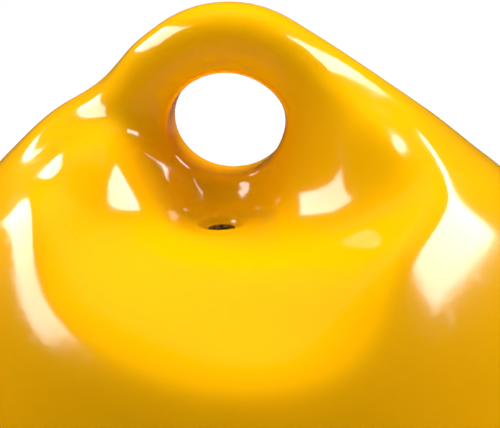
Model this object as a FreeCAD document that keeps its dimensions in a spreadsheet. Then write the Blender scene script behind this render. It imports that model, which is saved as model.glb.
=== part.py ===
import FreeCAD, Part
import math
import os

import Sketcher

# A mooring pickup buoy: a hollow vinyl ball drawn out to one thick moulded eye.
# Two scoops are pressed into it, one from each side, so that a hand or a hook
# reaches the eye's hole, and one scoop holds the air valve. Millimetres, +Z up.
# The origin is on the buoy's axis at its waterline. The scoop with the valve
# faces -Y, and the hole runs roughly along Y.

DOC = FreeCAD.newDocument("pickup_buoy")

SIZES = {
    # float
    "body_radius": 160.0,
    "body_wall": 4.0,
    "seam_height": 50.0,
    "draught": 64.0,
    # eye moulding, with heights above the float's centre
    "end_wall": 8.0,
    "lip_depth": 9.0,
    "lip_clearance": 0.3,
    "eye_height": 144.6,
    "crown_radius": 47.2,
    "roof_drop": 54.6,
    "roof_radius": 42.0,
    "hole_radius": 22.0,
    "hole_flare": 10.0,
    "hole_drop": 1.0,
    "edge_rounding": 7.0,
    "eye_turn": 8.0,
    "web_thickness": 36.0,
    # scoop sections, from the web outwards: five poles each, from left to right
    "scoop_half_width": 105.0,
    "root_left_rise": 52.5,
    "root_left_foot": -23.0,
    "root_left_drop": 13.1,
    "root_side": 2.8,
    "root_drop": 32.7,
    "root_right_foot": 44.1,
    "root_right_drop": 38.7,
    "root_right_rise": 70.8,
    "foot_step": 8.0,
    "foot_left_rise": 9.3,
    "foot_left_foot": -39.5,
    "foot_left_drop": -3.2,
    "foot_side": -9.1,
    "foot_drop": 48.1,
    "foot_right_foot": 40.4,
    "foot_right_drop": 36.5,
    "foot_right_rise": 46.1,
    "wall_distance": 46.0,
    "wall_left_rise": 7.5,
    "wall_left_foot": -49.1,
    "wall_left_drop": 18.4,
    "wall_side": -27.6,
    "wall_drop": 32.9,
    "wall_right_foot": 36.0,
    "wall_right_drop": 42.0,
    "wall_right_rise": 16.0,
    "far_distance": 92.0,
    "far_left_rise": -22.0,
    "far_left_foot": -66.0,
    "far_left_drop": 37.0,
    "far_side": 0.4,
    "far_drop": 46.5,
    "far_right_foot": 44.0,
    "far_right_drop": 44.0,
    "far_right_rise": 2.0,
    "tip_distance": 140.0,
    "tip_left_rise": -40.0,
    "tip_left_foot": -62.0,
    "tip_left_drop": 62.0,
    "tip_side": 0.0,
    "tip_drop": 61.0,
    "tip_right_foot": 56.0,
    "tip_right_drop": 61.0,
    "tip_right_rise": -40.0,
    # valve
    "valve_distance": 34.0,
    "valve_side": -5.4,
    "valve_clearance": 0.1,
    "dish_radius": 9.0,
    "dish_depth": 2.0,
    "head_radius": 5.2,
    "head_depth": 5.0,
    "head_rise": 0.6,
    "tail_radius": 3.4,
    "tail_reach": 3.0,
    "core_radius": 3.2,
    "core_depth": 3.6,
    "core_rise": 0.5,
    "needle_radius": 1.0,
}

sheet = DOC.addObject("Spreadsheet::Sheet", "Sizes")
names = []


def keep_size(name, number):
    """Write one named size into the next row of the sheet."""
    names.append(name)
    sheet.set(f"A{len(names)}", name)
    sheet.set(f"B{len(names)}", str(number))
    sheet.setAlias(f"B{len(names)}", name)


for size_name, size_value in SIZES.items():
    keep_size(size_name, size_value)
DOC.recompute()

# Expressions that several pieces share.
CENTRE_LIFT = "body_radius - draught"
TURN = "asin( ( body_radius - crown_radius ) / eye_height )"
ROOF = "eye_height - roof_drop"
LIP_FOOT = "seam_height - lip_depth"
LEDGE = "floor_level - dish_depth - head_depth"
HEAD_TOP = "floor_level - dish_depth + head_rise"
TAIL_END = f"{ROOF} - tail_reach"


def spelled(expression):
    """Put the sheet's name in front of each size in an expression."""
    return " ".join(f"Sizes.{word}" if word in names else word for word in expression.split())


def value(expression):
    """The number that an expression comes to."""
    return float(sheet.evalExpression(spelled(expression)))


def chord_half(radius, height):
    """Half width of a circle about the float's centre, at a height above it."""
    return f"sqrt( ( {radius} ) ^ 2 - ( {height} ) ^ 2 )"


def origin_part(body, role):
    """One of the body's own origin planes or axes."""
    return next(item for item in body.Origin.OriginFeatures if item.Role == role)


def new_body(label):
    """An empty body, lifted so that the waterline is at the origin."""
    body = DOC.addObject("PartDesign::Body", label)
    body.Label = label
    body.setExpression(".Placement.Base.z", spelled(CENTRE_LIFT))
    return body


def new_sketch(body, name, plane="XZ_Plane", lift=None, turned=False):
    """A sketch on an origin plane, lifted off it by an expression, or turned with the eye."""
    sketch = body.newObject("Sketcher::SketchObject", name)
    sketch.AttachmentSupport = [(origin_part(body, plane), "")]
    sketch.MapMode = "FlatFace"
    angle = value("eye_turn") if turned else 0.0
    spin = FreeCAD.Rotation(FreeCAD.Vector(0, -1, 0), angle)
    height = value(lift) if lift else 0.0
    sketch.AttachmentOffset = FreeCAD.Placement(spin.multVec(FreeCAD.Vector(0, 0, height)), spin)
    if turned:
        sketch.setExpression(".AttachmentOffset.Rotation.Angle", spelled("eye_turn"))
    if lift and turned:
        sketch.setExpression(".AttachmentOffset.Base.x", spelled(f"- ( {lift} ) * sin( eye_turn )"))
        sketch.setExpression(".AttachmentOffset.Base.z", spelled(f"( {lift} ) * cos( eye_turn )"))
    elif lift:
        sketch.setExpression(".AttachmentOffset.Base.z", spelled(lift))
    return sketch


def constrain(sketch, kind, *places, size=None):
    """Add one constraint, and bind it to the sheet where it carries a size."""
    if size is None:
        sketch.addConstraint(Sketcher.Constraint(kind, *places))
        return
    index = sketch.addConstraint(Sketcher.Constraint(kind, *places, value(size)))
    sketch.setExpression(f"Constraints[{index}]", spelled(size))


def pin(sketch, geometry, end, x, y):
    """Hold one point of the sketch at the expressions x and y."""
    for axis, kind, size in ((-2, "DistanceX", x), (-1, "DistanceY", y)):
        if size == "0":
            constrain(sketch, "PointOnObject", geometry, end, axis)
        else:
            constrain(sketch, kind, -1, 1, geometry, end, size=size)


def bulge(start, end, radius):
    """Middle of the arc from start to end; a negative radius bends to the left."""
    chord = end - start
    sagitta = abs(radius) - math.sqrt(radius * radius - chord.Length ** 2 / 4)
    aside = FreeCAD.Vector(chord.y, -chord.x, 0).normalize()
    return (start + end) / 2 + aside * math.copysign(sagitta, radius)


def swapped(sketch, index, start):
    """Whether the edge's own start is at the outline's next corner, as on a clockwise arc."""
    return not sketch.getPoint(index, 1).isEqual(start, 1e-6)


def draw_loop(sketch, corners):
    """Closed outline through corners, each an (x, y, radius of the next edge or None)."""
    points = [FreeCAD.Vector(value(x), value(y), 0) for x, y, _ in corners]
    for index, (_, _, radius) in enumerate(corners):
        start = points[index]
        end = points[(index + 1) % len(points)]
        if radius is None:
            sketch.addGeometry(Part.LineSegment(start, end), False)
        else:
            sketch.addGeometry(Part.Arc(start, bulge(start, end, value(radius)), end), False)
    starts = [2 if swapped(sketch, index, point) else 1 for index, point in enumerate(points)]
    for index, (x, y, radius) in enumerate(corners):
        after = (index + 1) % len(corners)
        constrain(sketch, "Coincident", index, 3 - starts[index], after, starts[after])
        pin(sketch, index, starts[index], x, y)
        if radius is not None:
            constrain(sketch, "Radius", index, size=f"abs( {radius} )")


def add_axis(sketch, ends):
    """A construction line between two corners, the first axis of the sketch."""
    points = [FreeCAD.Vector(value(x), value(y), 0) for x, y in ends]
    line = sketch.addGeometry(Part.LineSegment(*points), True)
    for end, (x, y) in enumerate(ends, start=1):
        pin(sketch, line, end, x, y)
    return "Axis0"


def revolve(body, sketch, name, axis="V_Axis", kind="Revolution"):
    """Spin a closed outline a full turn, to add it to the body or cut it out."""
    feature = body.newObject(f"PartDesign::{kind}", name)
    feature.Profile = sketch
    feature.ReferenceAxis = (sketch, [axis])
    feature.Angle = 360.0
    DOC.recompute()
    return feature


def blank_section(body, name):
    """Half section of the eye moulding: ball and neck outside, cavity below, and a lip."""
    inner = "body_radius - end_wall"
    lip = "body_radius - body_wall - lip_clearance"
    crown_top = f"eye_height + crown_radius * sin( {TURN} )"
    sketch = new_sketch(body, name)
    draw_loop(sketch, [
        (chord_half("body_radius", "seam_height"), "seam_height", "body_radius"),
        (f"body_radius * cos( {TURN} )", f"body_radius * sin( {TURN} )", None),
        (f"crown_radius * cos( {TURN} )", crown_top, "crown_radius"),
        ("0", "eye_height + crown_radius", None),
        ("0", ROOF, None),
        ("roof_radius", ROOF, None),
        (chord_half(inner, "seam_height"), "seam_height", f"- ( {inner} )"),
        (chord_half(inner, LIP_FOOT), LIP_FOOT, None),
        (chord_half(lip, LIP_FOOT), LIP_FOOT, lip),
        (chord_half(lip, "seam_height"), "seam_height", None),
    ])
    return sketch


def scoop_section(body, name, lift, word, turned=False):
    """One section of the scoop: a smooth valley through five poles, open to above the crown."""
    lid = "eye_height + 2 * crown_radius"
    poles = [
        ("- scoop_half_width", f"eye_height + {word}_left_rise"),
        (f"{word}_left_foot", f"eye_height - {word}_left_drop"),
        (f"{word}_side", f"eye_height - {word}_drop"),
        (f"{word}_right_foot", f"eye_height - {word}_right_drop"),
        ("scoop_half_width", f"eye_height + {word}_right_rise"),
    ]
    sketch = new_sketch(body, name, lift=lift, turned=turned)
    points = [FreeCAD.Vector(value(x), value(y), 0) for x, y in poles]
    left_top = FreeCAD.Vector(points[0].x, value(lid), 0)
    right_top = FreeCAD.Vector(points[-1].x, value(lid), 0)
    valley = Part.BSplineCurve()
    valley.buildFromPolesMultsKnots(points, [4, 1, 4], [0, 1, 2], False, 3)
    loop = [
        valley,
        Part.LineSegment(points[-1], right_top),
        Part.LineSegment(right_top, left_top),
        Part.LineSegment(left_top, points[0]),
    ]
    sketch.addGeometry(loop, False)
    for edge in range(len(loop)):
        constrain(sketch, "Coincident", edge, 2, (edge + 1) % len(loop), 1)
    sketch.exposeInternalGeometry(0)
    aligned = [rule.First for rule in sketch.Constraints if rule.Type == "InternalAlignment"]
    pin(sketch, 0, 1, *poles[0])
    for circle, (x, y) in zip(aligned[1:4], poles[1:4]):
        pin(sketch, circle, 3, x, y)
    pin(sketch, 0, 2, *poles[-1])
    constrain(sketch, "Vertical", 1)
    constrain(sketch, "Vertical", 3)
    constrain(sketch, "Horizontal", 2)
    constrain(sketch, "DistanceY", -1, 1, 2, 1, size=lid)
    return sketch


def cut_scoops(body, label):
    """Two scoops, opposite each other, which leave a web across the crown."""
    root = "web_thickness / 2"
    sections = [
        scoop_section(body, f"{label}_root", root, "root", turned=True),
        scoop_section(body, f"{label}_foot", f"{root} + foot_step", "foot", turned=True),
        scoop_section(body, f"{label}_wall", "wall_distance", "wall"),
        scoop_section(body, f"{label}_far", "far_distance", "far"),
        scoop_section(body, f"{label}_tip", "tip_distance", "tip"),
    ]
    scoop = body.newObject("PartDesign::SubtractiveLoft", f"{label}_scoop")
    scoop.Profile = sections[0]
    scoop.Sections = sections[1:]
    DOC.recompute()
    pair = body.newObject("PartDesign::PolarPattern", f"{label}_scoops")
    pair.Originals = [scoop]
    pair.Axis = (origin_part(body, "Z_Axis"), [""])
    pair.Angle = 360.0
    pair.Occurrences = 2
    body.Tip = pair
    DOC.recompute()


def bore_eye(body, label):
    """The eye's hole: a straight land between two flared mouths, spun about its own axis."""
    half = "web_thickness / 2"
    axis_height = "eye_height - hole_drop"
    rim = f"{axis_height} + hole_radius + hole_flare"
    wall = f"{axis_height} + hole_radius"
    land = f"{half} - hole_flare"
    reach = f"{half} + hole_flare"
    sketch = new_sketch(body, f"{label}_hole_section", "YZ_Plane", turned=True)
    draw_loop(sketch, [
        (reach, axis_height, None),
        (reach, rim, None),
        (half, rim, "- hole_flare"),
        (land, wall, None),
        (f"- ( {land} )", wall, "- hole_flare"),
        (f"- {half}", rim, None),
        (f"- ( {reach} )", rim, None),
        (f"- ( {reach} )", axis_height, None),
    ])
    axis = add_axis(sketch, [(f"- {half}", axis_height), (half, axis_height)])
    revolve(body, sketch, f"{label}_hole", axis, "Groove")


def face_kind(face):
    """Plane, Cylinder, Cone, Sphere, BSplineSurface or the like."""
    return face.Surface.TypeId.removeprefix("Part::Geom")


def outer_edges(shape, kind, above):
    """Names of the edges where a face of a kind meets the outer skin above a height."""
    found = []
    for index, edge in enumerate(shape.Edges, start=1):
        kinds = {face_kind(face) for face in shape.ancestorsOfType(edge, Part.Face)}
        if kind in kinds and kinds & {"Sphere", "Cone"} and edge.BoundBox.ZMin > above:
            found.append(f"Edge{index}")
    return found


def round_edges(body, name, radius, edges):
    """Round the named edges of the body's last feature."""
    base = body.Tip
    fillet = body.newObject("PartDesign::Fillet", name)
    fillet.Base = (base, edges)
    fillet.Radius = value(radius)
    fillet.setExpression("Radius", spelled(radius))
    DOC.recompute()


def floor_above(shape, x, y):
    """Height of the scoop's floor where an upright line leaves the solid."""
    start = FreeCAD.Vector(value(x), value(y), value(ROOF))
    end = FreeCAD.Vector(start.x, start.y, value("eye_height + 2 * crown_radius"))
    return shape.common(Part.makeLine(start, end)).BoundBox.ZMax


def from_valve(distance):
    """A place to the right of the valve's axis."""
    return f"valve_side + {distance}"


def valve_sketch(body, name):
    """A sketch upright through the valve's axis, and the name of that axis."""
    return new_sketch(body, name, lift="valve_distance")


def valve_axis(sketch):
    return add_axis(sketch, [("valve_side", LEDGE), ("valve_side", "floor_level")])


def cut_socket(body, label):
    """The valve's socket: a shallow dish, a bore for the head and one for the tail."""
    mouth = "floor_level + dish_depth"
    dish = "floor_level - dish_depth"
    head = from_valve("head_radius + valve_clearance")
    tail = from_valve("tail_radius + valve_clearance")
    sketch = valve_sketch(body, f"{label}_socket_section")
    draw_loop(sketch, [
        ("valve_side", mouth, None),
        ("valve_side", TAIL_END, None),
        (tail, TAIL_END, None),
        (tail, LEDGE, None),
        (head, LEDGE, None),
        (head, dish, None),
        (from_valve("dish_radius"), dish, None),
        (from_valve("dish_radius"), mouth, None),
    ])
    revolve(body, sketch, f"{label}_socket", valve_axis(sketch), "Groove")


def make_eye_moulding(label):
    """Upper float and eye in one piece, as it is moulded."""
    body = new_body(label)
    revolve(body, blank_section(body, f"{label}_section"), f"{label}_blank")
    cut_scoops(body, label)
    bore_eye(body, label)
    skin = value(f"{ROOF} + body_wall")
    shape = body.Shape.copy()
    shape.Placement = FreeCAD.Placement()
    edges = outer_edges(shape, "BSplineSurface", value("seam_height"))
    edges += outer_edges(shape, "Plane", skin)
    round_edges(body, f"{label}_edges", "edge_rounding", edges)
    keep_size("floor_level", floor_above(shape, "valve_side", "- valve_distance"))
    DOC.recompute()
    cut_socket(body, label)
    return body


def make_body_shell(label):
    """The rest of the float: a hollow ball, open at the seam."""
    inner = "body_radius - body_wall"
    body = new_body(label)
    sketch = new_sketch(body, f"{label}_section")
    draw_loop(sketch, [
        (chord_half("body_radius", "seam_height"), "seam_height", "- body_radius"),
        ("0", "- body_radius", None),
        ("0", f"- ( {inner} )", inner),
        (chord_half(inner, "seam_height"), "seam_height", None),
    ])
    revolve(body, sketch, f"{label}_wall")
    return body


def make_valve_seat(label):
    """Flanged sleeve that stands on the socket's ledge, with a seat for the core."""
    pocket = from_valve("core_radius + valve_clearance")
    pocket_floor = f"{HEAD_TOP} - core_depth"
    body = new_body(label)
    sketch = valve_sketch(body, f"{label}_section")
    draw_loop(sketch, [
        (pocket, HEAD_TOP, None),
        (pocket, pocket_floor, None),
        (from_valve("needle_radius"), pocket_floor, None),
        (from_valve("needle_radius"), TAIL_END, None),
        (from_valve("tail_radius"), TAIL_END, None),
        (from_valve("tail_radius"), LEDGE, None),
        (from_valve("head_radius"), LEDGE, None),
        (from_valve("head_radius"), HEAD_TOP, None),
    ])
    revolve(body, sketch, f"{label}_sleeve", valve_axis(sketch))
    return body


def make_valve_core(label):
    """Self-closing core that the pump's needle goes through."""
    foot = f"{HEAD_TOP} - core_depth"
    top = f"{HEAD_TOP} + core_rise"
    body = new_body(label)
    sketch = valve_sketch(body, f"{label}_section")
    draw_loop(sketch, [
        (from_valve("needle_radius"), top, None),
        (from_valve("needle_radius"), foot, None),
        (from_valve("core_radius"), foot, None),
        (from_valve("core_radius"), top, None),
    ])
    revolve(body, sketch, f"{label}_plug", valve_axis(sketch))
    return body


subparts = [
    make_eye_moulding("eye_moulding"),
    make_body_shell("body_shell"),
    make_valve_seat("valve_seat"),
    make_valve_core("valve_core"),
]
DOC.recompute()

for thing in DOC.Objects:
    if any(word in thing.State for word in ("Invalid", "Error")):
        raise RuntimeError(f"{thing.Name} did not compute: {thing.State}")
for subpart in subparts:
    if subpart.Shape.isNull() or not subpart.Shape.isValid() or len(subpart.Shape.Solids) != 1:
        raise RuntimeError(f"{subpart.Label} is not one valid solid")

os.makedirs("parts", exist_ok=True)
for subpart in subparts:
    subpart.Shape.exportStep(f"parts/{subpart.Label}.step")
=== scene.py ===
"""Looks of a mooring pickup buoy: one moulded vinyl float with an eye, scoops and a valve."""

import logging
import math
from dataclasses import dataclass, field
from enum import Enum

import bmesh
import bpy
from mathutils import Matrix, Quaternion, Vector
from mathutils.kdtree import KDTree


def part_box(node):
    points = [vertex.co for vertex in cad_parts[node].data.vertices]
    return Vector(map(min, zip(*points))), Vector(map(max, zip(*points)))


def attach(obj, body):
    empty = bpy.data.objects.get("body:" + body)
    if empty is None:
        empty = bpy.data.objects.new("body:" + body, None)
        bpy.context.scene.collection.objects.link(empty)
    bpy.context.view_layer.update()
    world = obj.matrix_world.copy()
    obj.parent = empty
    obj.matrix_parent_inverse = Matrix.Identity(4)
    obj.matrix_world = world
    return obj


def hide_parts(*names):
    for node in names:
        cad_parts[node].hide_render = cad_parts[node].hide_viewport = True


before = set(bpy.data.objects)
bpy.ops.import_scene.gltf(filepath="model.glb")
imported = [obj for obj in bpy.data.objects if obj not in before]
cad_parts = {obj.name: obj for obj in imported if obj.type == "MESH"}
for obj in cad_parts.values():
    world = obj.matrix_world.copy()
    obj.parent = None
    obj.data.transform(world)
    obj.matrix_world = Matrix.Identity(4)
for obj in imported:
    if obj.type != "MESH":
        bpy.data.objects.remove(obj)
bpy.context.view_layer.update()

log = logging.getLogger("pickup_buoy")

BODY = "root"
MM = 0.001
MERGE_DISTANCE = 0.01 * MM
UP = Vector((0.0, 0.0, 1.0))

# The sRGB curve: a straight foot up to its limit, and a power above it.
TOP_LEVEL = 255.0
FOOT_LIMIT = 0.04045
FOOT_SLOPE = 12.92
CURVE_SHIFT = 0.055
CURVE_POWER = 2.4

# Settings that several nodes share.
SOFT = {"interpolation_type": "SMOOTHSTEP"}
COLOURS = {"data_type": "RGBA"}


class Slot(Enum):
    """The record's material slots."""

    VINYL = "vinyl"
    SEAT = "valve_rubber"
    CORE = "valve_plastic"


def linear(hex_colour: str) -> tuple[float, float, float, float]:
    """Turn a written screen colour into the light it stands for.

    Args:
        hex_colour: Six sRGB hex digits after a #.

    Returns:
        Linear red, green and blue, and full cover.
    """
    levels = [int(hex_colour[at : at + 2], 16) / TOP_LEVEL for at in (1, 3, 5)]
    light = [
        level / FOOT_SLOPE
        if level <= FOOT_LIMIT
        else ((level + CURVE_SHIFT) / (1.0 + CURVE_SHIFT)) ** CURVE_POWER
        for level in levels
    ]
    return (*light, 1.0)


def add_node(
    tree: bpy.types.NodeTree,
    kind: str,
    settings: dict[str, object] | None = None,
    links: dict[str | int, object] | None = None,
) -> bpy.types.Node:
    """Add one node, set it up and link its inputs.

    Args:
        tree: The node tree that gets the node.
        kind: The node's class name.
        settings: Properties of the node by name.
        links: For each input, a socket to link it from or a value to give it.

    Returns:
        The new node.
    """
    node = tree.nodes.new(kind)
    for name, value in (settings or {}).items():
        setattr(node, name, value)
    for name, source in (links or {}).items():
        if isinstance(source, bpy.types.NodeSocket):
            tree.links.new(source, node.inputs[name])
        else:
            node.inputs[name].default_value = source
    return node


def new_material(name: str) -> tuple[bpy.types.Material, bpy.types.NodeTree]:
    """Make an empty node material.

    Args:
        name: The finish's name.

    Returns:
        The material and its node tree.
    """
    material = bpy.data.materials.new(name)
    material.use_nodes = True
    material.node_tree.nodes.clear()
    return material, material.node_tree


@dataclass(frozen=True)
class Ramp:
    """A soft change of one value, from low to high, as another goes from start to end."""

    start: float
    end: float
    low: float
    high: float

    def inputs(self, source: bpy.types.NodeSocket) -> dict[str | int, object]:
        """What a map range node needs to follow a source.

        Args:
            source: The value to follow.

        Returns:
            The node's inputs by name.
        """
        return {
            "Value": source,
            "From Min": self.start,
            "From Max": self.end,
            "To Min": self.low,
            "To Max": self.high,
        }


@dataclass(frozen=True)
class Grain:
    """One layer of unevenness: how wide its grains are, how detailed and how deep."""

    width_mm: float
    detail: float
    depth_mm: float = 0.0

    def inputs(self, place: bpy.types.NodeSocket) -> dict[str | int, object]:
        """What a noise node needs to give grains of this width.

        Args:
            place: The object's own coordinates, in metres.

        Returns:
            The node's inputs by name.
        """
        return {"Vector": place, "Scale": 1.0 / (self.width_mm * MM), "Detail": self.detail}


@dataclass(frozen=True)
class MouldedVinyl:
    """Rotation-moulded PVC vinyl: a deep glossy yellow, polished in the scoops.

    The tool is polished where it forms the scoops and the eye, and blasted where it
    forms the ball, so the ball carries a fine pebble that breaks its highlights. The
    ball is painted a darker yellow: painted shade, for the weaker light on the ball.
    """

    name: str = "rotomoulded_pvc_vinyl"
    pigment: str = "#F4B000"
    # Painted shade: the ball's yellow, painted darker than the scoops' to stand for the
    # weaker light on it.
    ball_painted_shade: str = "#DD9E00"
    thick_pigment: str = "#F0A300"
    refraction: float = 1.53
    # Blast marks are nearer 0.5 mm wide. They are drawn coarser, so that they show.
    pebble: Grain = Grain(2.4, 2.0, 0.035)
    # Scuffs from decks and boat hooks, which dull the gloss in spots.
    scuff: Grain = Grain(7.0, 6.0)
    # Slow waves of a skin that shrank as it cooled, which bend the highlights.
    ripple: Grain = Grain(38.0, 1.0, 0.10)
    # A wall whose thickness drifts, so that the pigment is a little deeper in places.
    cloud: Grain = Grain(60.0, 3.0)
    cloud_share: Ramp = Ramp(0.35, 0.75, 0.0, 0.25)
    skin_roughness: Ramp = Ramp(0.2, 0.8, 0.16, 0.10)
    scuff_roughness: Ramp = Ramp(0.55, 0.8, 0.0, 0.10)
    pebble_strength: Ramp = Ramp(0.2, 0.8, 1.0, 0.12)

    def build(self, polish_and_shade_attribute: str) -> bpy.types.Material:
        """Make the material.

        Args:
            polish_and_shade_attribute: Point attribute that is 1 on polished skin and 0 on
                the ball; it also places the ball's painted shade.

        Returns:
            The material.
        """
        material, tree = new_material(self.name)
        place = add_node(tree, "ShaderNodeTexCoord").outputs["Object"]
        polish_and_ball_shade = add_node(
            tree, "ShaderNodeAttribute", {"attribute_name": polish_and_shade_attribute}
        ).outputs["Fac"]
        cloud, pebble, scuff, ripple = (
            add_node(tree, "ShaderNodeTexNoise", None, layer.inputs(place)).outputs["Fac"]
            for layer in (self.cloud, self.pebble, self.scuff, self.ripple)
        )
        thick, skin, worn, strength = (
            add_node(tree, "ShaderNodeMapRange", SOFT, ramp.inputs(source)).outputs["Result"]
            for ramp, source in (
                (self.cloud_share, cloud),
                (self.skin_roughness, polish_and_ball_shade),
                (self.scuff_roughness, scuff),
                (self.pebble_strength, polish_and_ball_shade),
            )
        )
        # Painted shade: the ball takes the darker yellow, and the polished skin the plain
        # one.
        tone = add_node(
            tree,
            "ShaderNodeMix",
            COLOURS,
            {"Factor": polish_and_ball_shade, 6: linear(self.ball_painted_shade), 7: linear(self.pigment)},
        ).outputs[2]
        colour = add_node(
            tree,
            "ShaderNodeMix",
            COLOURS,
            {"Factor": thick, 6: tone, 7: linear(self.thick_pigment)},
        ).outputs[2]
        rough = add_node(
            tree, "ShaderNodeMath", {"operation": "ADD"}, {0: skin, 1: worn}
        ).outputs[0]
        waves = add_node(
            tree,
            "ShaderNodeBump",
            None,
            {"Height": ripple, "Distance": self.ripple.depth_mm * MM, "Strength": 1.0},
        ).outputs["Normal"]
        grain = add_node(
            tree,
            "ShaderNodeBump",
            None,
            {
                "Height": pebble,
                "Distance": self.pebble.depth_mm * MM,
                "Strength": strength,
                "Normal": waves,
            },
        ).outputs["Normal"]
        shader = add_node(
            tree,
            "ShaderNodeBsdfPrincipled",
            None,
            {
                "Base Color": colour,
                "Roughness": rough,
                "IOR": self.refraction,
                "Normal": grain,
            },
        )
        add_node(tree, "ShaderNodeOutputMaterial", None, {"Surface": shader.outputs[0]})
        return material


@dataclass(frozen=True)
class ValveRubber:
    """Moulded nitrile rubber: near black, with a dull sheen and fine dust in its grain."""

    name: str = "moulded_nitrile_rubber"
    carbon: str = "#161414"
    dust: str = "#3A3530"
    roughness: float = 0.38
    refraction: float = 1.52
    # The tool's grain is nearer 0.1 mm. It is drawn coarser, so that it shows.
    grain: Grain = Grain(0.5, 3.0, 0.03)
    dust_share: Ramp = Ramp(0.5, 0.8, 0.0, 0.5)

    def build(self) -> bpy.types.Material:
        """Make the material.

        Returns:
            The material.
        """
        material, tree = new_material(self.name)
        place = add_node(tree, "ShaderNodeTexCoord").outputs["Object"]
        grain = add_node(
            tree, "ShaderNodeTexNoise", None, self.grain.inputs(place)
        ).outputs["Fac"]
        dusty = add_node(
            tree, "ShaderNodeMapRange", SOFT, self.dust_share.inputs(grain)
        ).outputs["Result"]
        tone = add_node(
            tree,
            "ShaderNodeMix",
            COLOURS,
            {"Factor": dusty, 6: linear(self.carbon), 7: linear(self.dust)},
        ).outputs[2]
        bump = add_node(
            tree,
            "ShaderNodeBump",
            None,
            {"Height": grain, "Distance": self.grain.depth_mm * MM, "Strength": 1.0},
        ).outputs["Normal"]
        shader = add_node(
            tree,
            "ShaderNodeBsdfPrincipled",
            None,
            {
                "Base Color": tone,
                "Roughness": self.roughness,
                "IOR": self.refraction,
                "Normal": bump,
            },
        )
        add_node(tree, "ShaderNodeOutputMaterial", None, {"Surface": shader.outputs[0]})
        return material


@dataclass(frozen=True)
class ValvePlastic:
    """Injection-moulded black acetal: smooth and satin, so it catches small bright glints."""

    name: str = "moulded_acetal"
    black: str = "#0E0D0D"
    refraction: float = 1.48
    # Flow marks of the melt, which vary the gloss a little.
    flow: Grain = Grain(1.5, 2.0)
    flow_roughness: Ramp = Ramp(0.3, 0.8, 0.22, 0.34)

    def build(self) -> bpy.types.Material:
        """Make the material.

        Returns:
            The material.
        """
        material, tree = new_material(self.name)
        place = add_node(tree, "ShaderNodeTexCoord").outputs["Object"]
        flow = add_node(
            tree, "ShaderNodeTexNoise", None, self.flow.inputs(place)
        ).outputs["Fac"]
        rough = add_node(
            tree, "ShaderNodeMapRange", SOFT, self.flow_roughness.inputs(flow)
        ).outputs["Result"]
        shader = add_node(
            tree,
            "ShaderNodeBsdfPrincipled",
            None,
            {
                "Base Color": linear(self.black),
                "Roughness": rough,
                "IOR": self.refraction,
            },
        )
        add_node(tree, "ShaderNodeOutputMaterial", None, {"Surface": shader.outputs[0]})
        return material


@dataclass(frozen=True)
class StudioPaper:
    """Matt background paper: white to the camera, and dark in the buoy's gloss."""

    name: str = "studio_paper"
    white: str = "#F4F4F2"
    glow_colour: str = "#FFFFFF"
    in_gloss: str = "#3C3C3C"
    roughness: float = 0.9
    # The rest of what the camera sees is matt paper, which shows the buoy's shadow.
    glow_share: float = 0.88

    def build(self) -> bpy.types.Material:
        """Make the material.

        Returns:
            The material.
        """
        material, tree = new_material(self.name)
        path = add_node(tree, "ShaderNodeLightPath")
        seen = add_node(
            tree,
            "ShaderNodeMath",
            {"operation": "MULTIPLY"},
            {0: path.outputs["Is Camera Ray"], 1: self.glow_share},
        ).outputs[0]
        tone = add_node(
            tree,
            "ShaderNodeMix",
            COLOURS,
            {
                "Factor": path.outputs["Is Glossy Ray"],
                6: linear(self.white),
                7: linear(self.in_gloss),
            },
        ).outputs[2]
        matt = add_node(
            tree,
            "ShaderNodeBsdfPrincipled",
            None,
            {"Base Color": tone, "Roughness": self.roughness},
        )
        plain = add_node(
            tree, "ShaderNodeEmission", None, {"Color": linear(self.glow_colour)}
        )
        mixed = add_node(
            tree,
            "ShaderNodeMixShader",
            None,
            {0: seen, 1: matt.outputs[0], 2: plain.outputs[0]},
        )
        add_node(tree, "ShaderNodeOutputMaterial", None, {"Surface": mixed.outputs[0]})
        return material


def linked(name: str, data: bpy.types.ID) -> bpy.types.Object:
    """A new object in the scene, made from a mesh, a light or a camera.

    Args:
        name: The object's name.
        data: What it shows.

    Returns:
        The object.
    """
    thing = bpy.data.objects.new(name, data)
    bpy.context.scene.collection.objects.link(thing)
    return thing


def finish_piece(
    mesh: bpy.types.Mesh, name: str, material: bpy.types.Material, node: str
) -> None:
    """Put a finished mesh in the scene as a piece of the buoy.

    Args:
        mesh: The mesh, with its place in its vertices.
        name: The piece's name.
        material: Its finish.
        node: The solid that the piece stands for.
    """
    piece = linked(name, mesh)
    mesh.materials.clear()
    mesh.materials.append(material)
    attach(piece, BODY)
    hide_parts(node)
    log.info("%s: %d faces", name, len(mesh.polygons))


def smooth_step(value: float, start: float, end: float) -> float:
    """0 up to start, 1 from end on, and a soft slope between them."""
    share = min(max((value - start) / (end - start), 0.0), 1.0)
    return share * share * (3.0 - 2.0 * share)


def between(low: float, high: float, share: float) -> float:
    """The value that lies a share of the way from low to high."""
    return low + (high - low) * share


def solid_copy(node: str) -> bmesh.types.BMesh:
    """A merged copy of a solid's mesh, ready to be worked on.

    Args:
        node: The solid's node.

    Returns:
        The copy.
    """
    work = bmesh.new()
    work.from_mesh(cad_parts[node].data)
    bmesh.ops.remove_doubles(work, verts=work.verts, dist=MERGE_DISTANCE)
    return work


def new_mesh(work: bmesh.types.BMesh, name: str) -> bpy.types.Mesh:
    """Turn a finished bmesh into a smooth-shaded mesh, and free it.

    Args:
        work: The bmesh, which is used up.
        name: The mesh's name.

    Returns:
        The mesh.
    """
    for face in work.faces:
        face.smooth = True
    mesh = bpy.data.meshes.new(name)
    work.to_mesh(mesh)
    work.free()
    return mesh


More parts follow.
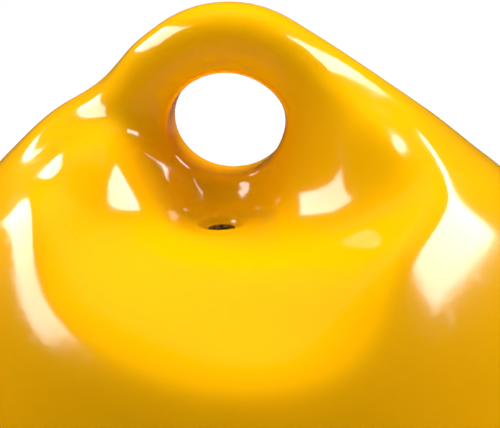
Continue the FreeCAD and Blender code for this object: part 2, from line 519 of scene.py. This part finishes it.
def spin_round(work: bmesh.types.BMesh, steps: int) -> None:
    """Spin a line once round the upright axis through the origin, into a closed skin.

    Args:
        work: The bmesh that holds the line.
        steps: How many steps the turn takes.
    """
    bmesh.ops.spin(
        work,
        geom=work.verts[:] + work.edges[:],
        cent=(0.0, 0.0, 0.0),
        axis=UP,
        angle=math.tau,
        steps=steps,
        use_merge=True,
        use_duplicate=False,
    )
    bmesh.ops.remove_doubles(work, verts=work.verts, dist=MERGE_DISTANCE)
    bmesh.ops.recalc_face_normals(work, faces=work.faces)


def with_modifier(
    mesh: bpy.types.Mesh,
    kind: str,
    settings: dict[str, object],
    shares: list[float] | None = None,
) -> bpy.types.Mesh:
    """Run one modifier on a mesh and keep its result.

    Args:
        mesh: The mesh.
        kind: The modifier's type.
        settings: Properties of the modifier by name.
        shares: For each vertex, how much of the change it takes, from 0 to 1.

    Returns:
        The changed mesh, under the same name.
    """
    carrier = linked(mesh.name, mesh)
    modifier = carrier.modifiers.new(kind, kind)
    if shares is not None:
        group = carrier.vertex_groups.new(name="shares")
        for index, share in enumerate(shares):
            group.add([index], share, "REPLACE")
        modifier.vertex_group = group.name
    for name, value in settings.items():
        setattr(modifier, name, value)
    graph = bpy.context.evaluated_depsgraph_get()
    result = bpy.data.meshes.new_from_object(carrier.evaluated_get(graph))
    name = mesh.name
    bpy.data.objects.remove(carrier)
    bpy.data.meshes.remove(mesh)
    result.name = name
    return result


@dataclass(frozen=True)
class FloatForm:
    """The round form that both halves of the float share."""

    centre: Vector = field(default_factory=lambda: Vector((0.0, 0.0, 0.096)))
    radius_mm: float = 160.0
    seam_height_mm: float = 50.0


@dataclass(frozen=True)
class Nudge:
    """A soft push on the skin, whose middle is in millimetres from the eye's centre.

    A twin does the same at the back, turned half round. The outer skin takes only
    skin_share of the push, and the inside of the scoops takes all of it.
    """

    centre: Vector
    reach_mm: float
    push: Vector
    twin: bool = True
    skin_share: float = 1.0

    def at(self, spot: Vector, inside: float) -> Vector:
        """How far the skin moves at a place.

        Args:
            spot: The place, in millimetres from the eye's centre.
            inside: 0 on the outer skin and 1 well inside the scoops.

        Returns:
            The move, in millimetres.
        """
        share = 1.0 - smooth_step((spot - self.centre).length, 0.0, self.reach_mm)
        return self.push * share * between(self.skin_share, 1.0, inside)


@dataclass
class EyeMoulding:
    """The upper float, its two scoops and its eye, softened as thick vinyl is.

    The form comes from the solid of the same name. It is remeshed evenly and then
    softened: a lot inside the scoops, a little on their rims, and not at all round the
    hole and at the seam. The arch, the flanks and the scoops' walls are then shaped by
    soft moves, and the valve's socket is cut last, so that it stays crisp.
    """

    node: str = "eye_moulding"
    name: str = "eye_skin"
    # Name of the point attribute that marks polished skin, and so where the ball's painted
    # shade goes.
    polish_and_ball_shade: str = "polish_and_ball_shade"
    form: FloatForm = field(default_factory=FloatForm)
    voxel_mm: float = 2.0

    # The eye: its place over the float's centre, the round crown and the hole.
    eye_height_mm: float = 144.6
    eye_turn: float = math.radians(8.0)
    crown_radius_mm: float = 47.2
    hole_radius_mm: float = 22.0
    hole_drop_mm: float = 1.0

    # The softening. A pair gives where a share starts to change and where it has changed.
    smooth_factor: float = 0.5
    passes: int = 800
    last_passes: int = 50
    hole_keep_mm: tuple[float, float] = (24.0, 34.0)
    seam_keep_mm: tuple[float, float] = (3.0, 22.0)
    edge_depth_mm: tuple[float, float] = (0.6, 3.0)
    skin_gap_mm: tuple[float, float] = (4.0, 20.0)
    scoop_gap_mm: tuple[float, float] = (6.0, 24.0)
    rim_share: float = 0.06
    front_rim_share: float = 0.5
    front_rim_at_mm: tuple[float, float] = (80.0, 125.0)
    scoop_share: float = 1.0
    far_scoop_share: float = 0.25
    far_scoop_at_mm: tuple[float, float] = (30.0, 70.0)

    # The hole: how much wider and lower it gets, and how far out and how deep that goes.
    hole_stretch: tuple[float, float] = (0.06, -0.045)
    hole_stretch_mm: tuple[float, float] = (26.0, 42.0)
    hole_depth_mm: tuple[float, float] = (20.0, 34.0)

    # The arch: half its thickness, how far outside that a place is still drawn in, how
    # full its section is by the hole and by the crown, and where the rounding starts.
    arch_half_mm: float = 18.0
    arch_outside_mm: float = 6.0
    arch_powers: tuple[float, float] = (2.3, 2.0)
    arch_from_share: float = 0.15
    arch_sides: tuple[float, float] = (-0.05, 0.4)

    # The flanks and the scoops' lobes.
    flank_swell_mm: float = 2.2
    flank_depth_mm: tuple[float, float] = (3.0, 14.0)
    nudges: tuple[Nudge, ...] = (
        Nudge(Vector((-78.0, -28.0, -6.0)), 42.0, Vector((-7.0, 6.0, -6.0))),
        Nudge(Vector((-50.0, -34.0, -7.0)), 34.0, Vector((0.0, -4.0, 12.0)), False, 0.0),
        Nudge(Vector((44.0, -30.0, -12.0)), 46.0, Vector((0.0, -9.0, 10.0)), False, 0.0),
        Nudge(Vector((-54.0, 2.0, 15.0)), 28.0, Vector((3.6, 0.0, -4.5)), False),
    )
    nudge_depth_mm: tuple[float, float] = (1.0, 9.0)

    # The flat landing round the valve, and the plug that fills its socket meanwhile.
    landing_mm: tuple[float, float] = (10.0, 26.0)
    landing_drop_mm: float = 4.0
    landing_rise_mm: float = 20.0
    socket_fill_radius_mm: float = 10.0
    socket_edge_mm: float = 0.7

    # Where the skin turns from pebbled to polished, and from painted shade to plain yellow:
    # by depth, and by height.
    polish_depth_mm: tuple[float, float] = (0.8, 3.2)
    polish_from_mm: tuple[float, float] = (96.0, 128.0)

    @property
    def lean(self) -> float:
        """How fast the outer form narrows from the ball to the crown, as a sine."""
        return (self.form.radius_mm - self.crown_radius_mm) / self.eye_height_mm

    @property
    def rise(self) -> float:
        """The cosine that goes with the lean."""
        return math.sqrt(1.0 - self.lean * self.lean)

    def build(self, material: bpy.types.Material, valve: "Valve") -> None:
        """Make the skin from the solid.

        Args:
            material: The vinyl.
            valve: The valve, whose socket is cut into the skin.
        """
        mesh = self._filled(new_mesh(solid_copy(self.node), self.name), valve)
        mesh = with_modifier(
            mesh, "REMESH", {"mode": "VOXEL", "voxel_size": self.voxel_mm * MM}
        )
        mesh = self._smoothed(mesh, self.passes, self._shares(mesh))
        self._shape(mesh, valve)
        mesh = self._smoothed(mesh, self.last_passes, self._held(mesh))
        mesh = self._combined(mesh, valve.socket_cutter(), "DIFFERENCE")
        for face in mesh.polygons:
            face.use_smooth = True
        marks = mesh.attributes.new(self.polish_and_ball_shade, "FLOAT", "POINT")
        for vert, mark in zip(mesh.vertices, marks.data):
            mark.value = self._polished(vert.co)
        finish_piece(mesh, self.name, material, self.node)

    def _filled(self, mesh: bpy.types.Mesh, valve: "Valve") -> bpy.types.Mesh:
        """Close the valve's socket, so that the even mesh runs flat across it.

        Args:
            mesh: The solid's mesh.
            valve: The valve.

        Returns:
            The mesh with the socket closed.
        """
        foot = valve.tail_level() - self.socket_edge_mm * MM
        plug = valve.rod(self.socket_fill_radius_mm, foot, valve.floor_level())
        return self._combined(mesh, plug, "UNION")

    def _combined(
        self, mesh: bpy.types.Mesh, tool: bpy.types.Object, how: str
    ) -> bpy.types.Mesh:
        """Add a tool solid to a mesh, or cut it out.

        Args:
            mesh: The mesh.
            tool: The object to add or cut, which is used up.
            how: The boolean's name.

        Returns:
            The new mesh.
        """
        settings = {"operation": how, "solver": "EXACT", "object": tool}
        result = with_modifier(mesh, "BOOLEAN", settings)
        bpy.data.objects.remove(tool)
        return result

    def _smoothed(
        self, mesh: bpy.types.Mesh, passes: int, shares: list[float]
    ) -> bpy.types.Mesh:
        """Soften the skin.

        Args:
            mesh: The skin.
            passes: How many times each place moves towards its neighbours.
            shares: For each vertex, how much of that it takes, from 0 to 1.

        Returns:
            The softened skin.
        """
        settings = {"factor": self.smooth_factor, "iterations": passes}
        return with_modifier(mesh, "SMOOTH", settings, shares)

    def _shares(self, mesh: bpy.types.Mesh) -> list[float]:
        """Shares for the rims and the creases of the scoops, but not the hole and the seam.

        Args:
            mesh: The evenly meshed skin.

        Returns:
            For each vertex, how much of the softening it takes, from 0 to 1.
        """
        depths = [self._depth(vert.co) for vert in mesh.vertices]
        edge = KDTree(len(depths))
        for index, depth in enumerate(depths):
            if self.edge_depth_mm[0] < depth < self.edge_depth_mm[1]:
                edge.insert(mesh.vertices[index].co, index)
        edge.balance()
        shares = []
        for vert, depth in zip(mesh.vertices, depths):
            gap = edge.find(vert.co)[2] / MM
            shares.append(self._share(self._seen_from_eye(vert.co), depth, gap))
        return shares

    def _held(self, mesh: bpy.types.Mesh) -> list[float]:
        """Shares that keep only the hole and the seam as they are."""
        return [self._free(self._seen_from_eye(vert.co)) for vert in mesh.vertices]

    def _free(self, spot: Vector) -> float:
        """0 on the hole and on the seam, and 1 away from both.

        Args:
            spot: The place, in millimetres from the eye's centre.

        Returns:
            The share, from 0 to 1.
        """
        reach = math.hypot(spot.x, spot.z + self.hole_drop_mm)
        above = spot.z + self.eye_height_mm - self.form.seam_height_mm
        return smooth_step(reach, *self.hole_keep_mm) * smooth_step(above, *self.seam_keep_mm)

    def _share(self, spot: Vector, depth: float, gap: float) -> float:
        """How much of the softening a place takes.

        Args:
            spot: The place, in millimetres from the eye's centre.
            depth: How deep it lies under the plain outer form, in millimetres.
            gap: How far it is from the rims, in millimetres.

        Returns:
            The share, from 0 to 1.
        """
        away = abs(spot.y)
        front = smooth_step(away, *self.front_rim_at_mm)
        rim = between(self.rim_share, self.front_rim_share, front)
        if depth <= self.edge_depth_mm[1]:
            share = rim * (1.0 - smooth_step(gap, *self.skin_gap_mm))
        else:
            far = smooth_step(away, *self.far_scoop_at_mm)
            inside = between(self.scoop_share, self.far_scoop_share, far)
            share = between(rim, inside, smooth_step(gap, *self.scoop_gap_mm))
        return share * self._free(spot)

    def _shape(self, mesh: bpy.types.Mesh, valve: "Valve") -> None:
        """Give the softened skin the round arch, the full flanks and the flat by the valve.

        Args:
            mesh: The softened skin.
            valve: The valve.
        """
        axis = valve.centre()
        level = valve.floor_level()
        for vert in mesh.vertices:
            vert.co += self._hole_move(vert.co)
            vert.co += self._arch_move(vert.co)
            vert.co += self._flank_move(vert.co)
            vert.co += self._nudge_move(vert.co)
            gap = math.hypot(vert.co.x - axis.x, vert.co.y - axis.y) / MM
            near = 1.0 - smooth_step(gap, *self.landing_mm)
            height = (vert.co.z - level) / MM
            if -self.landing_drop_mm < height < self.landing_rise_mm:
                vert.co.z = between(vert.co.z, level, near)

    def _hole_move(self, place: Vector) -> Vector:
        """Move that makes the hole a little wider than it is high.

        Args:
            place: The place, in metres.

        Returns:
            The move, in metres.
        """
        spot = self._seen_from_eye(place)
        spot.z += self.hole_drop_mm
        near = 1.0 - smooth_step(math.hypot(spot.x, spot.z), *self.hole_stretch_mm)
        near *= 1.0 - smooth_step(abs(spot.y), *self.hole_depth_mm)
        wide, high = self.hole_stretch
        move = Vector((spot.x * wide, 0.0, spot.z * high)) * near * MM
        move.rotate(Quaternion(UP, -self.eye_turn))
        return move

    def _arch_move(self, place: Vector) -> Vector:
        """Move that rounds the arch's section, so that it is thickest in its middle.

        Args:
            place: The place, in metres.

        Returns:
            The move, in metres.
        """
        spot = self._seen_from_eye(place)
        spot.z += self.hole_drop_mm
        reach = max(math.hypot(spot.x, spot.z), self.hole_radius_mm)
        high = smooth_step(spot.z / reach, *self.arch_sides)
        if high == 0.0:
            return Vector()
        # The outer form is round down to this angle, and straight below it.
        straight = math.asin(self.lean)
        angle = min(math.atan2(spot.z, abs(spot.x)), straight)
        edge = (self.crown_radius_mm + self.hole_drop_mm) / math.cos(straight - angle)
        share = min((reach - self.hole_radius_mm) / (edge - self.hole_radius_mm), 1.0)
        power = self.arch_powers[0] if share < 0.5 else self.arch_powers[1]
        limit = self.arch_half_mm * (1.0 - abs(2.0 * share - 1.0) ** power) ** (1.0 / power)
        excess = abs(spot.y) - limit
        most = self.arch_half_mm + self.arch_outside_mm - limit
        if share < self.arch_from_share or not 0.0 < excess < most:
            return Vector()
        move = Vector((0.0, -math.copysign(excess * high, spot.y) * MM, 0.0))
        move.rotate(Quaternion(UP, -self.eye_turn))
        return move

    def _flank_move(self, place: Vector) -> Vector:
        """Move that swells the straight flanks of the outer form a little.

        Args:
            place: The place, in metres.

        Returns:
            The move, in metres.
        """
        spot = self._local(place)
        flat = Vector((math.hypot(spot.x, spot.y), spot.z))
        share = flat.dot(Vector((-self.lean, self.rise))) / (self.rise * self.eye_height_mm)
        if not 0.0 < share < 1.0:
            return Vector()
        skin = 1.0 - smooth_step(self._depth(place), *self.flank_depth_mm)
        swell = self.flank_swell_mm * MM * math.sin(math.pi * share) * skin
        out = Vector((spot.x, spot.y, 0.0)).normalized() * self.rise
        out.z = self.lean
        return out * swell

    def _nudge_move(self, place: Vector) -> Vector:
        """Sum of the soft pushes, in front and turned half round at the back.

        Args:
            place: The place, in metres.

        Returns:
            The move, in metres.
        """
        spot = self._local(place)
        spot.z -= self.eye_height_mm
        twin = Vector((-spot.x, -spot.y, spot.z))
        move = Vector()
        inside = smooth_step(self._depth(place), *self.nudge_depth_mm)
        for nudge in self.nudges:
            move += nudge.at(spot, inside)
            if nudge.twin:
                back = nudge.at(twin, inside)
                move += Vector((-back.x, -back.y, back.z))
        return move * MM

    def _seen_from_eye(self, place: Vector) -> Vector:
        """A place along the eye's own axes.

        Args:
            place: The place, in metres.

        Returns:
            The place, in millimetres from the eye's centre.
        """
        spot = self._local(place)
        spot.rotate(Quaternion(UP, self.eye_turn))
        spot.z -= self.eye_height_mm
        return spot

    def _local(self, place: Vector) -> Vector:
        """A place seen from the float's centre, in millimetres."""
        return (place - self.form.centre) / MM

    def _depth(self, place: Vector) -> float:
        """How deep a place lies under the plain outer form.

        Args:
            place: The place, in metres.

        Returns:
            The depth, in millimetres.
        """
        spot = self._local(place)
        flat = Vector((math.hypot(spot.x, spot.y), spot.z))
        along = flat.dot(Vector((-self.lean, self.rise)))
        if along < 0.0:
            return self.form.radius_mm - flat.length
        if along > self.rise * self.eye_height_mm:
            return self.crown_radius_mm - (flat - Vector((0.0, self.eye_height_mm))).length
        return self.form.radius_mm - flat.dot(Vector((self.rise, self.lean)))

    def _polished(self, place: Vector) -> float:
        """How polished the skin is at a place; the same mark keeps the ball's painted shade
        off the scoops.

        Args:
            place: The place, in metres.

        Returns:
            1 in the scoops and on the eye, and 0 on the ball.
        """
        deep = smooth_step(self._depth(place), *self.polish_depth_mm)
        high = smooth_step(self._local(place).z, *self.polish_from_mm)
        return max(deep, high)


@dataclass
class FloatBall:
    """The lower float: a thin-walled ball, welded to the moulding at the seam."""

    node: str = "body_shell"
    name: str = "float_ball"
    form: FloatForm = field(default_factory=FloatForm)
    wall_mm: float = 4.0
    steps: int = 192
    rings: int = 96

    def build(self, material: bpy.types.Material) -> None:
        """Make the ball: an arc from the seam to the lowest point, spun and given a wall.

        Args:
            material: The vinyl.
        """
        work = bmesh.new()
        rim = math.asin(self.form.seam_height_mm / self.form.radius_mm)
        seam = Vector((math.cos(rim), 0.0, math.sin(rim))) * self.form.radius_mm * MM
        bmesh.ops.spin(
            work,
            geom=[work.verts.new(seam)],
            cent=(0.0, 0.0, 0.0),
            axis=(0.0, 1.0, 0.0),
            angle=rim + math.pi / 2,
            steps=self.rings,
            use_duplicate=False,
        )
        spin_round(work, self.steps)
        bmesh.ops.solidify(work, geom=work.faces[:], thickness=self.wall_mm * MM)
        bmesh.ops.translate(work, verts=work.verts, vec=self.form.centre)
        mesh = new_mesh(work, self.name)
        # The ball has no polish mark, so the vinyl gives all of it the darker painted shade.
        finish_piece(mesh, self.name, material, self.node)


@dataclass
class Valve:
    """The air valve: a flanged rubber sleeve in its socket, and the core in it."""

    seat_node: str = "valve_seat"
    seat_name: str = "valve_sleeve"
    core_node: str = "valve_core"
    core_name: str = "valve_plug"
    steps: int = 96

    # The dish: its foot and lip lie inside its radius, and the cutter flares out above.
    dish_radius_mm: float = 9.0
    dish_depth_mm: float = 2.0
    dish_foot_mm: float = 2.0
    dish_lip_mm: float = 0.8
    dish_flare_mm: tuple[float, float] = (1.6, 2.4)

    # The sleeve's head, and the bore round it.
    head_radius_mm: float = 5.2
    head_rise_mm: float = 0.6
    head_depth_mm: float = 5.0
    clearance_mm: float = 0.1

    # The rounding of every edge sharper than sharp_angle.
    edge_mm: float = 0.3
    edge_segments: int = 3
    sharp_angle: float = math.radians(60.0)
    flat_angle: float = math.radians(0.5)

    def build(self, rubber: bpy.types.Material, plastic: bpy.types.Material) -> None:
        """Make the sleeve and the core over their solids.

        Args:
            rubber: The sleeve's finish.
            plastic: The core's finish.
        """
        self._rounded(self.seat_node, self.seat_name, rubber)
        self._rounded(self.core_node, self.core_name, plastic)

    def centre(self) -> Vector:
        """The middle of the sleeve, which is on the valve's axis."""
        low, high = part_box(self.seat_node)
        return (low + high) / 2

    def floor_level(self) -> float:
        """Height of the scoop's floor at the valve."""
        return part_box(self.seat_node)[1].z + (self.dish_depth_mm - self.head_rise_mm) * MM

    def tail_level(self) -> float:
        """Height of the sleeve's lower end."""
        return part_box(self.seat_node)[0].z

    def rod(self, radius_mm: float, foot: float, top: float) -> bpy.types.Object:
        """An upright rod on the valve's axis.

        Args:
            radius_mm: Its radius.
            foot: Height of its lower end.
            top: Height of its upper end.

        Returns:
            The rod, as a loose object.
        """
        work = bmesh.new()
        bmesh.ops.create_cone(
            work,
            cap_ends=True,
            segments=self.steps,
            radius1=radius_mm * MM,
            radius2=radius_mm * MM,
            depth=top - foot,
        )
        middle = self.centre()
        middle.z = (foot + top) / 2
        bmesh.ops.translate(work, verts=work.verts, vec=middle)
        return linked("rod", new_mesh(work, "rod"))

    def socket_cutter(self) -> bpy.types.Object:
        """The space of the dish and the head's bore, spun from its half section.

        Returns:
            The cutter, as a loose object.
        """
        floor = self.floor_level()
        bore = (self.head_radius_mm + self.clearance_mm) * MM
        dish = self.dish_radius_mm * MM
        foot = dish - self.dish_foot_mm * MM
        lip = self.dish_lip_mm * MM
        bottom = floor - self.dish_depth_mm * MM
        ledge = bottom - self.head_depth_mm * MM
        flare, flare_level = (size * MM for size in self.dish_flare_mm)
        section = (
            (0.0, ledge),
            (bore, ledge),
            (bore, bottom),
            (foot, bottom),
            (dish - lip, bottom + lip),
            (dish + flare, floor + flare_level),
            (dish + flare, floor + dish),
            (0.0, floor + dish),
        )
        work = bmesh.new()
        corners = [work.verts.new((across, 0.0, level)) for across, level in section]
        for start, end in zip(corners, corners[1:]):
            work.edges.new((start, end))
        spin_round(work, self.steps)
        axis = self.centre()
        axis.z = 0.0
        bmesh.ops.translate(work, verts=work.verts, vec=axis)
        return linked("cutter", new_mesh(work, "cutter"))

    def _rounded(
        self, node: str, name: str, material: bpy.types.Material
    ) -> None:
        """Round the edges of a copy of a valve solid.

        Args:
            node: The solid's node.
            name: The piece's name.
            material: Its finish.
        """
        work = solid_copy(node)
        bmesh.ops.dissolve_limit(
            work, angle_limit=self.flat_angle, verts=work.verts[:], edges=work.edges[:]
        )
        sharp = [
            edge for edge in work.edges if edge.calc_face_angle(0.0) > self.sharp_angle
        ]
        bmesh.ops.bevel(
            work,
            geom=sharp,
            offset=self.edge_mm * MM,
            segments=self.edge_segments,
            profile=0.5,
            affect="EDGES",
            material=-1,
        )
        finish_piece(new_mesh(work, name), name, material, node)


@dataclass(frozen=True)
class Panel:
    """One soft light panel, by a corner and its two sides, in metres.

    A panel with in_gloss False lights the scene but makes no highlight of its own.
    """

    name: str
    corner: Vector
    side: Vector
    rise: Vector
    watts: float
    in_gloss: bool = True


@dataclass
class Studio:
    """White paper, soft panels at the sides, above and in front, and the camera."""

    eye: Vector = field(default_factory=lambda: Vector((0.0, 0.0, 0.2406)))
    distance: float = 0.8
    elevation: float = math.radians(12.0)
    tilt: float = math.radians(3.1)
    view_width: float = 0.2
    eye_offset: Vector = field(default_factory=lambda: Vector((-0.0084, 0.0384)))
    sensor_width: float = 36.0
    nearest: float = 0.01
    fill_level: float = 0.02
    backdrop: str = "#FFFFFF"
    floor_half: float = 12.0
    floor_cells: int = 4
    panels: tuple[Panel, ...] = (
        Panel(
            "right_panel",
            Vector((0.985, -0.28, 0.94)),
            Vector((0.42, 1.16, 0.0)),
            Vector((-0.30, 0.12, 0.38)),
            24.0,
        ),
        Panel(
            "left_panel",
            Vector((-1.12, 1.2, 1.0)),
            Vector((0.28, -1.49, 0.0)),
            Vector((0.25, 0.05, 0.28)),
            18.0,
        ),
        Panel(
            "top_panel",
            Vector((-0.9, 0.3, 2.3)),
            Vector((1.8, 0.0, 0.0)),
            Vector((0.0, 1.4, 0.0)),
            57.0,
            False,
        ),
        Panel(
            "front_panel",
            Vector((-0.5, -1.5, 0.08)),
            Vector((1.0, 0.0, 0.0)),
            Vector((0.0, -0.3, 0.5)),
            8.0,
            False,
        ),
    )

    def build(self, paper: bpy.types.Material) -> None:
        """Make the floor, the lights, the world and the camera.

        Args:
            paper: The floor's finish.
        """
        self._floor(paper)
        for panel in self.panels:
            self._light(panel)
        self._world()
        self._camera()

    def _floor(self, paper: bpy.types.Material) -> None:
        """Lay the paper at the waterline.

        Args:
            paper: The floor's finish.
        """
        work = bmesh.new()
        cells = self.floor_cells
        bmesh.ops.create_grid(work, x_segments=cells, y_segments=cells, size=self.floor_half)
        mesh = bpy.data.meshes.new("studio_floor")
        work.to_mesh(mesh)
        work.free()
        mesh.materials.append(paper)
        linked("studio_floor", mesh)

    def _light(self, panel: Panel) -> None:
        """Hang one panel.

        Args:
            panel: Its place, size and power.
        """
        light = bpy.data.lights.new(panel.name, "AREA")
        light.shape = "RECTANGLE"
        light.size = panel.side.length
        light.size_y = panel.rise.length
        light.energy = panel.watts
        lamp = linked(panel.name, light)
        lamp.visible_glossy = panel.in_gloss
        lamp.visible_camera = False
        across = panel.side.normalized()
        back = panel.side.cross(panel.rise).normalized()
        upright = back.cross(across)
        turn = Matrix((across, upright, back)).transposed().to_4x4()
        middle = panel.corner + panel.side / 2 + panel.rise / 2
        lamp.matrix_world = Matrix.Translation(middle) @ turn

    def _world(self) -> None:
        """A dim even fill, which the camera sees as white."""
        world = bpy.data.worlds.new("studio")
        bpy.context.scene.world = world
        world.use_nodes = True
        tree = world.node_tree
        tree.nodes.clear()
        path = add_node(tree, "ShaderNodeLightPath")
        level = (self.fill_level,) * 3 + (1.0,)
        fill = add_node(tree, "ShaderNodeBackground", None, {"Color": level})
        white = add_node(
            tree, "ShaderNodeBackground", None, {"Color": linear(self.backdrop)}
        )
        mixed = add_node(
            tree,
            "ShaderNodeMixShader",
            None,
            {0: path.outputs["Is Camera Ray"], 1: fill.outputs[0], 2: white.outputs[0]},
        )
        add_node(tree, "ShaderNodeOutputWorld", None, {"Surface": mixed.outputs[0]})

    def _camera(self) -> None:
        """Stand the camera so that the eye lies at its offset from the view's middle."""
        data = bpy.data.cameras.new("camera")
        data.sensor_width = self.sensor_width
        data.lens = self.sensor_width * self.distance / self.view_width
        data.clip_start = self.nearest
        camera = linked("camera", data)
        back = Vector((0.0, -math.cos(self.elevation), math.sin(self.elevation)))
        camera.location = self.eye + back * self.distance
        offset = self.eye_offset.copy()
        offset.rotate(Matrix.Rotation(-self.tilt, 2))
        level = (-back).to_track_quat("-Z", "Y")
        pitch = Quaternion((1.0, 0.0, 0.0), -math.atan2(offset.y, self.distance))
        aim = level @ pitch @ Vector((0.0, 0.0, -1.0))
        aim.rotate(Quaternion(UP, math.atan2(offset.x, self.distance)))
        camera.rotation_mode = "QUATERNION"
        upright = aim.to_track_quat("-Z", "Y")
        camera.rotation_quaternion = upright @ Quaternion(UP, -self.tilt)
        bpy.context.scene.camera = camera


def main() -> None:
    """Build the buoy and its studio."""
    logging.basicConfig(level=logging.INFO)
    bpy.context.scene.view_settings.view_transform = "Standard"
    moulding = EyeMoulding()
    vinyl = MouldedVinyl().build(moulding.polish_and_ball_shade)
    valve = Valve()
    moulding.build(vinyl, valve)
    FloatBall().build(vinyl)
    valve.build(ValveRubber().build(), ValvePlastic().build())
    Studio().build(StudioPaper().build())


if __name__ == "__main__":
    main()
